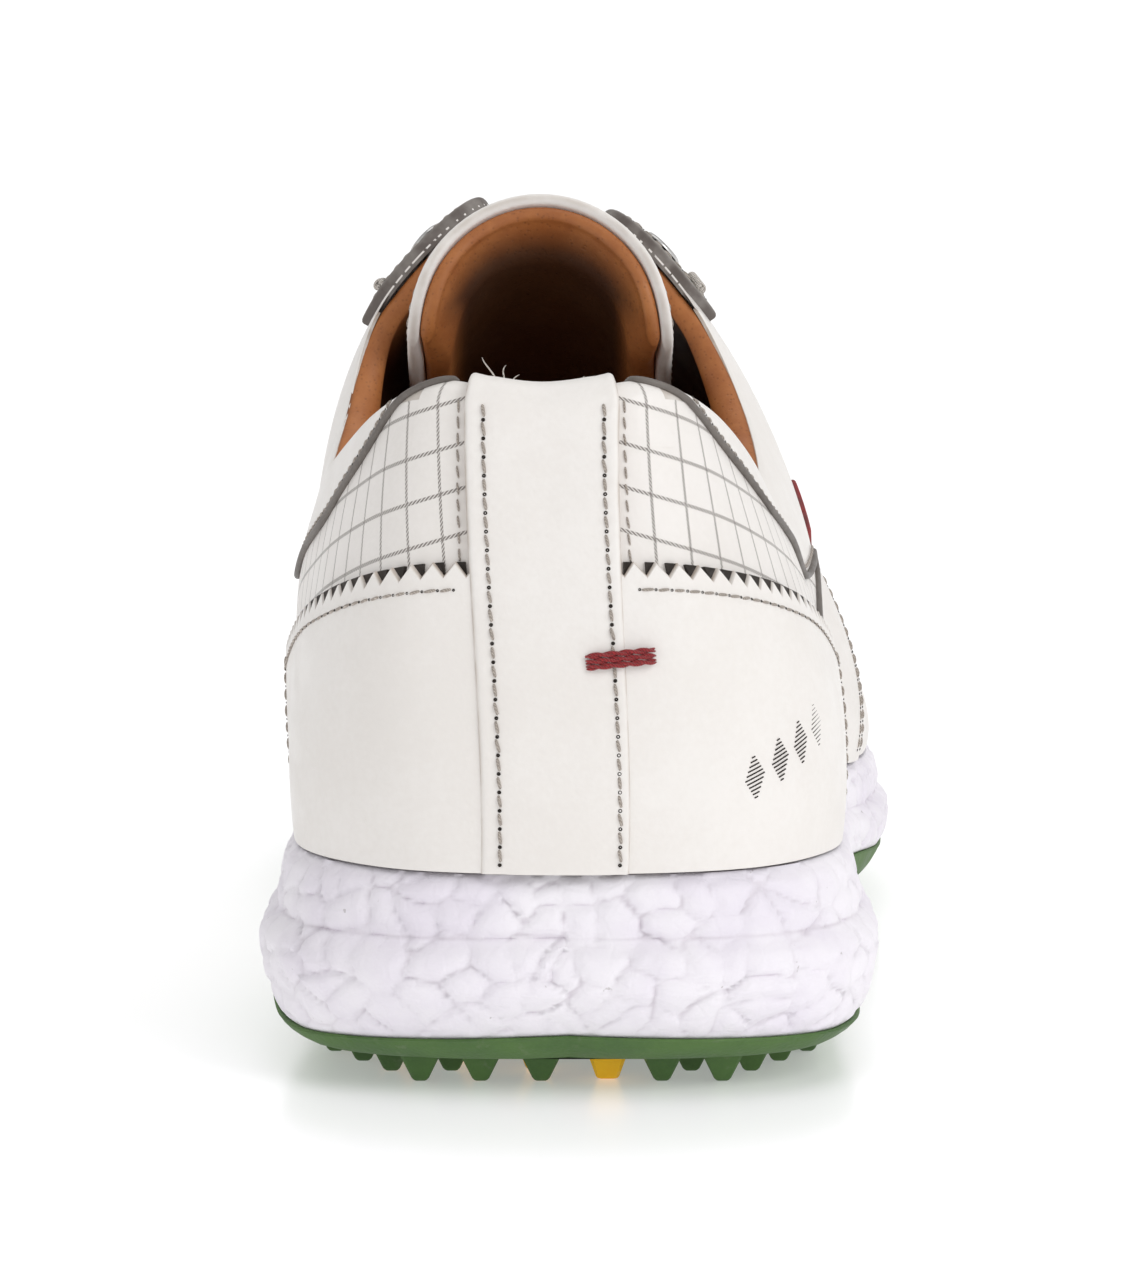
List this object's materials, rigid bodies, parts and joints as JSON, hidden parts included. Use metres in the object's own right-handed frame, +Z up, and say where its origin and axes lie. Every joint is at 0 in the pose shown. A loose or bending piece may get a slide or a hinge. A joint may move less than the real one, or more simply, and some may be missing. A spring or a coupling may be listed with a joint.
{
  "type": "golf shoe",
  "caption": "Low-cut lace-up golf shoe for the right foot: leather upper with padded collar and tongue, foam midsole and rubber outsole with moulded pyramid lugs.",
  "frame": {"origin": "centre of the bounding box, at the ground plane that the lug tips touch", "axes": "+Z up, +Y from the heel to the toe, +X to the outer (lateral) side of this right shoe"},
  "size_m": [0.1058, 0.301, 0.128],
  "materials": {
    "white_leather": "full-grain, off-white, with a printed grey grid on the upper panels",
    "smooth_leather": "smooth, off-white, low sheen",
    "grey_leather": "matt grey",
    "grey_piping": "matt grey bead",
    "tan_lining": "soft unfinished tan",
    "padding": "foam padding, hidden",
    "board": "fibre board, hidden",
    "midsole_foam": "matt foam with an irregular pebbled skin",
    "green_rubber": "satin green rubber",
    "yellow_rubber": "satin yellow rubber",
    "red_accent": "dark red",
    "red_thread": "thick dark red thread",
    "white_thread": "off-white thread",
    "eyelet_metal": "satin nickel",
    "shank_nylon": "black nylon, hidden"
  },
  "bodies": {
    "shoe": {"outsole": "green_rubber", "heel_insert": "yellow_rubber", "forefoot_insert_lateral": "yellow_rubber", "forefoot_insert_medial": "yellow_rubber", "midsole": "midsole_foam", "shank": "shank_nylon", "strobel_board": "board", "vamp": "white_leather", "toe_puff": "board", "heel_counter": "board", "quarter_lateral": "white_leather", "quarter_medial": "white_leather", "counter_panel_lateral": "smooth_leather", "counter_panel_medial": "smooth_leather", "collar_panel_lateral": "smooth_leather", "collar_panel_medial": "smooth_leather", "collar_foam": "padding", "backstay": "smooth_leather", "piping_lateral": "grey_piping", "piping_medial": "grey_piping", "facing_lateral": "grey_leather", "facing_medial": "grey_leather", "vamp_lining": "tan_lining", "quarter_lining_lateral": "tan_lining", "quarter_lining_medial": "tan_lining", "heel_lining": "tan_lining", "heel_bartack": "red_thread", "side_stripe": "red_accent", "facing_bartack_lateral": "white_thread", "facing_bartack_medial": "white_thread", "eyelet_lateral_1": "eyelet_metal", "eyelet_lateral_2": "eyelet_metal", "eyelet_lateral_3": "eyelet_metal", "eyelet_lateral_4": "eyelet_metal", "eyelet_lateral_5": "eyelet_metal", "eyelet_medial_1": "eyelet_metal", "eyelet_medial_2": "eyelet_metal", "eyelet_medial_3": "eyelet_metal", "eyelet_medial_4": "eyelet_metal", "eyelet_medial_5": "eyelet_metal"},
    "tongue": {"tongue_leather": "smooth_leather", "tongue_foam": "padding", "tongue_lining": "tan_lining"},
    "sockliner": {"sockliner": "tan_lining"}
  },
  "joints": [
    {"name": "tongue_fold", "type": "hinge", "parent": "shoe", "child": "tongue", "pos_m": [-0.00926, 0.04971, 0.061], "axis": [1, 0, 0], "range_deg": [0, 12]},
    {"name": "sockliner_lift", "type": "hinge", "parent": "shoe", "child": "sockliner", "pos_m": [-0.01126, 0.13871, 0.036], "axis": [-1, 0, 0], "range_deg": [0, 3]}
  ]
}
